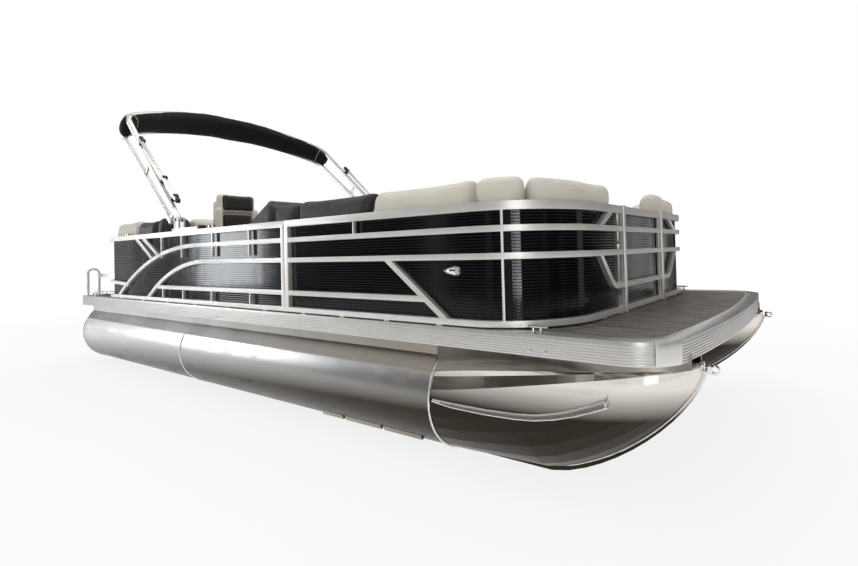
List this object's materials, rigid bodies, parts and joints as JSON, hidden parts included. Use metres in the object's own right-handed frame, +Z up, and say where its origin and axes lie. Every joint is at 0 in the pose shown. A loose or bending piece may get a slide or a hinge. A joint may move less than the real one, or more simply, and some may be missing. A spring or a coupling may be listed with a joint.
{
  "type": "pontoon boat",
  "caption": "Pontoon boat with sealed aluminium tubes, a fenced deck, lounges, a helm, swinging gates, a folded bimini top and a tilted outboard motor.",
  "frame": {"origin": "centre of the bounding box in plan, at the bottom of the pontoons' keels", "axes": "+X towards the bow, +Y to port, +Z up"},
  "size_m": [7.8523, 2.6024, 2.9655],
  "materials": {
    "satin_aluminium": "mill sheet, brushed along the tube, with weld seams",
    "polished_aluminium": "polished sheet with long streaks",
    "rail_aluminium": "satin anodised extrusion",
    "black_skin": "gloss black enamel on ribbed sheet",
    "woven_vinyl": "heathered grey woven vinyl",
    "beige_vinyl": "pale beige marine vinyl with fine grain",
    "base_plastic": "moulded plastic, light texture",
    "helm_vinyl": "charcoal moulded plastic",
    "black_plastic": "soft black plastic",
    "bright_metal": "polished stainless steel",
    "boot_fabric": "black woven acrylic",
    "motor_paint": "gloss black paint",
    "propeller_metal": "black enamel"
  },
  "bodies": {
    "hull": {"starboard_pontoon": "satin_aluminium", "port_pontoon": "satin_aluminium", "starboard_nose_cone": "polished_aluminium", "port_nose_cone": "polished_aluminium", "starboard_riser": "satin_aluminium", "port_riser": "satin_aluminium", "deck_cross_members": "satin_aluminium", "deck_board": "woven_vinyl", "deck_trim": "rail_aluminium", "motor_pod": "satin_aluminium", "starboard_aft_fence_frame": "rail_aluminium", "starboard_bow_fence_frame": "rail_aluminium", "port_aft_fence_frame": "rail_aluminium", "port_bow_fence_frame": "rail_aluminium", "fence_skins": "black_skin", "bow_eyes": "bright_metal", "lounge_bases": "base_plastic", "starboard_bow_seat": "beige_vinyl", "starboard_bow_backrest": "beige_vinyl", "port_bow_seat": "beige_vinyl", "port_bow_backrest": "beige_vinyl", "starboard_aft_seat": "beige_vinyl", "starboard_aft_backrest": "beige_vinyl", "port_aft_seat": "beige_vinyl", "port_aft_backrest": "beige_vinyl", "helm_console": "helm_vinyl", "chair_pedestal": "rail_aluminium", "bimini_mounts": "rail_aluminium", "ladder_handrails": "rail_aluminium", "mooring_cleats": "bright_metal", "docking_lights": "bright_metal", "motor_clamp_bracket": "motor_paint"},
    "bow_gate": {"bow_gate_frame": "rail_aluminium", "bow_gate_skin": "black_skin"},
    "side_gate": {"side_gate_frame": "rail_aluminium", "side_gate_skin": "black_skin"},
    "stern_gate": {"stern_gate_frame": "rail_aluminium", "stern_gate_skin": "black_skin"},
    "helm_wheel": {"steering_wheel": "black_plastic"},
    "captain_chair": {"chair_seat": "beige_vinyl", "chair_back": "beige_vinyl"},
    "bimini_top": {"bimini_bows": "rail_aluminium", "bimini_struts": "rail_aluminium", "bimini_boot": "boot_fabric"},
    "ladder": {"boarding_ladder": "rail_aluminium"},
    "motor_swivel": {"motor_swivel_bracket": "motor_paint"},
    "motor": {"motor_cowling": "motor_paint", "motor_leg": "motor_paint"},
    "prop": {"propeller": "propeller_metal"}
  },
  "joints": [
    {"name": "bow_gate_swing", "type": "hinge", "parent": "hull", "child": "bow_gate", "pos_m": [3.2305, -0.362, 1.1], "axis": [0, 0, 1], "range_deg": [0, 90]},
    {"name": "side_gate_swing", "type": "hinge", "parent": "hull", "child": "side_gate", "pos_m": [1.0765, 1.238, 1.1], "axis": [0, 0, 1], "range_deg": [0, 90]},
    {"name": "stern_gate_swing", "type": "hinge", "parent": "hull", "child": "stern_gate", "pos_m": [-2.0355, 0.266, 1.1], "axis": [0, 0, 1], "range_deg": [0, 90]},
    {"name": "chair_swivel", "type": "hinge", "parent": "hull", "child": "captain_chair", "pos_m": [-0.3895, -0.69, 1], "axis": [0, 0, 1], "range_deg": [-180, 180]},
    {"name": "bimini_raise", "type": "hinge", "parent": "hull", "child": "bimini_top", "pos_m": [-0.4595, 0, 1.497], "axis": [0, 1, 0], "range_deg": [0, 52]},
    {"name": "ladder_fold", "type": "hinge", "parent": "hull", "child": "ladder", "pos_m": [-2.8915, -0.96, 0.788], "axis": [0, -1, 0], "range_deg": [0, 255]},
    {"name": "motor_tilt", "type": "hinge", "parent": "hull", "child": "motor_swivel", "pos_m": [-2.9845, 0, 0.735], "axis": [0, 1, 0], "range_deg": [-56, 12]},
    {"name": "motor_steer", "type": "hinge", "parent": "motor_swivel", "child": "motor", "pos_m": [-3.03683, 0, 0.80198], "axis": [0.788, 0, 0.6157], "range_deg": [-30, 30]},
    {"name": "steering_wheel_turn", "type": "hinge", "parent": "hull", "child": "helm_wheel", "pos_m": [0.1905, -0.69, 1.4], "axis": [0.9063, 0, -0.4226], "range_deg": [-540, 540]},
    {"name": "propeller_spin", "type": "hinge", "parent": "motor", "child": "prop", "pos_m": [-3.79262, 0, 0.61124], "axis": [0.6157, 0, -0.788], "continuous": true}
  ],
  "couplings": [
    {"joint": "steering_wheel_turn", "follows": "motor_steer", "ratio": 18}
  ]
}
